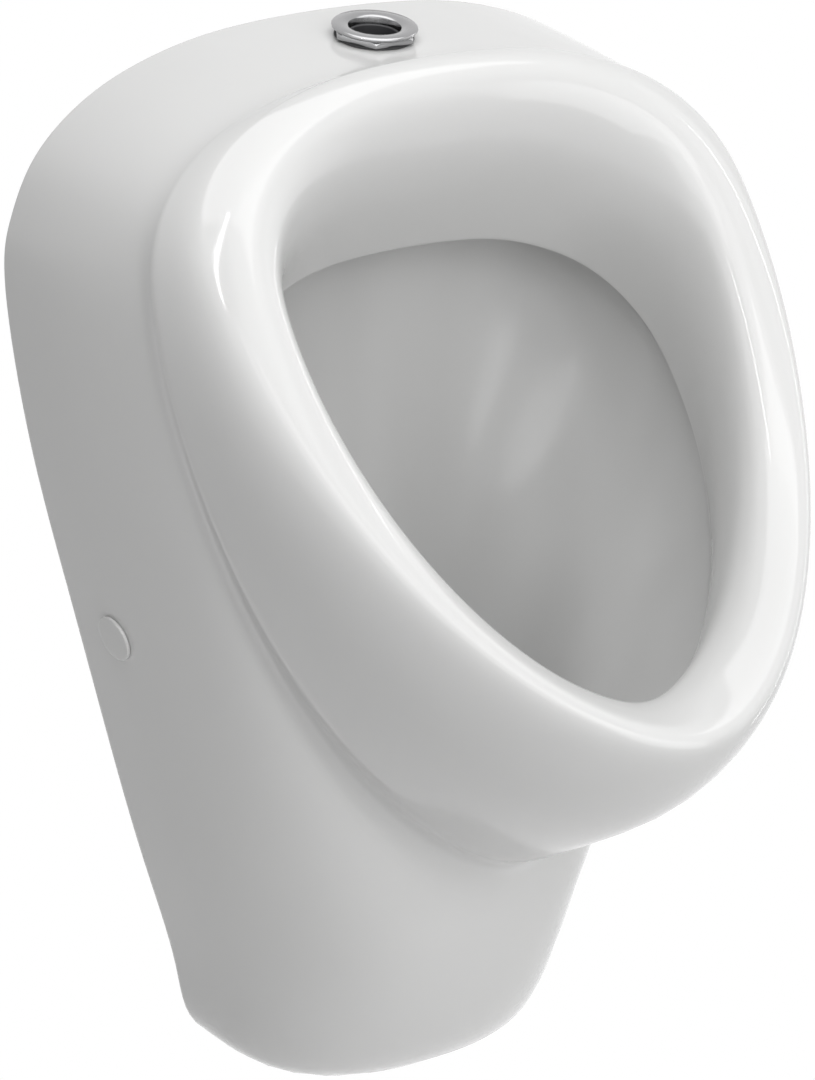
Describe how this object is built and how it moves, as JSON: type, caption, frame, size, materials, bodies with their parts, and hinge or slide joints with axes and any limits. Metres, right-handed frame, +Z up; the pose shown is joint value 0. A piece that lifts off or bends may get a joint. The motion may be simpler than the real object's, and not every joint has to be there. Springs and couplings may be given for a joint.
{
  "type": "wall hung urinal",
  "caption": "Wall hung ceramic urinal with an oval sloping bowl, a tapered body, a top water inlet with a chrome ring, capped side fixings and a hidden bottle trap.",
  "frame": {"origin": "middle of the four wall fixing holes, on the wall plane", "axes": "+Z up, +Y into the wall, -Y out of the wall towards the user, X across"},
  "size_m": [0.3666, 0.327, 0.5554],
  "materials": {
    "ceramic": "white glaze",
    "chrome": "polished",
    "rubber": "matt",
    "dark_plastic": "smooth",
    "brass": "turned",
    "grey_plastic": "moulded",
    "white_plastic": "moulded",
    "white_cap": "gloss",
    "steel": "brushed stainless",
    "zinc_steel": "zinc plated"
  },
  "bodies": {
    "urinal": {"ceramic_body": "ceramic", "inlet_ring": "chrome", "inlet_hex_nut": "chrome", "inlet_gasket": "rubber", "inlet_insert": "dark_plastic", "inlet_under_washer": "rubber", "inlet_locknut": "brass", "inlet_reducer": "grey_plastic", "flush_hose": "rubber", "spray_nozzle": "white_plastic", "nozzle_washer": "rubber", "waste_body": "white_plastic", "waste_gasket": "rubber", "trap_head": "white_plastic", "trap_union_nut": "white_plastic", "dip_tube": "white_plastic", "trap_cup": "white_plastic", "trap_seal": "rubber", "outlet_socket": "grey_plastic", "outlet_seal": "rubber", "hanger_bracket_right": "zinc_steel", "hanger_bracket_left": "zinc_steel", "hanger_pads": "rubber", "side_bracket_left": "zinc_steel", "side_bracket_right": "zinc_steel", "side_inserts": "grey_plastic", "side_screws": "zinc_steel", "side_sleeves": "white_plastic"},
    "strainer": {"strainer_plate": "steel", "strainer_screw": "steel"},
    "cap_left": {"side_cap_left": "white_cap"},
    "cap_right": {"side_cap_right": "white_cap"}
  },
  "joints": [
    {"name": "strainer_lift", "type": "slide", "parent": "urinal", "child": "strainer", "axis": [0, 0, 1], "range_m": [0, 0.02]},
    {"name": "cap_left_pull", "type": "slide", "parent": "urinal", "child": "cap_left", "axis": [-0.9677, -0.1016, -0.2307], "range_m": [0, 0.012]},
    {"name": "cap_right_pull", "type": "slide", "parent": "urinal", "child": "cap_right", "axis": [0.9677, -0.1016, -0.2307], "range_m": [0, 0.012]}
  ]
}
